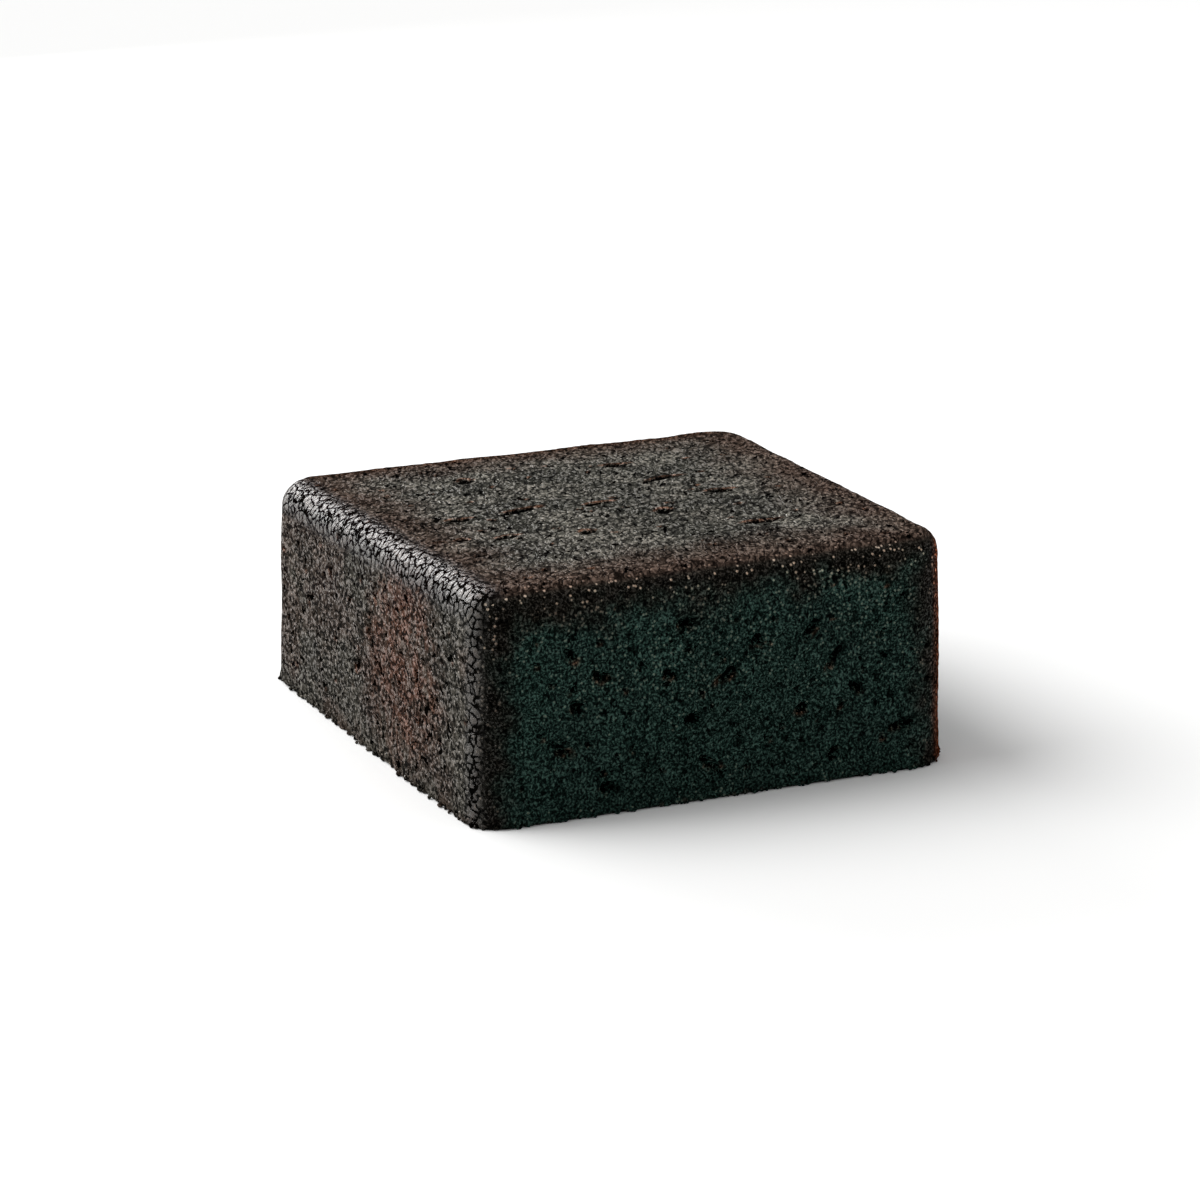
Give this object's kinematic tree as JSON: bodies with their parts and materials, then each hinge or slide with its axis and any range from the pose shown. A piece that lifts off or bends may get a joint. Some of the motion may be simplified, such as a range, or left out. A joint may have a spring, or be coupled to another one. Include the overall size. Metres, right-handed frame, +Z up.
{
  "type": "mud cake",
  "caption": "Whole square chocolate mud cake with a flat top, rounded edges and a dark pitted crust, resting on its flat base.",
  "frame": {"origin": "middle of the cake's footprint, on the surface it rests on", "axes": "+Z up through the flat top; -Y is the front face, -X the left face, which the picture shows as well"},
  "size_m": [0.1564, 0.1654, 0.0675],
  "materials": {
    "chocolate_crust": "dark baked chocolate crust, pitted and slightly sticky, satin with small glossy glints"
  },
  "bodies": {
    "root": {"cake": "chocolate_crust"}
  },
  "joints": []
}
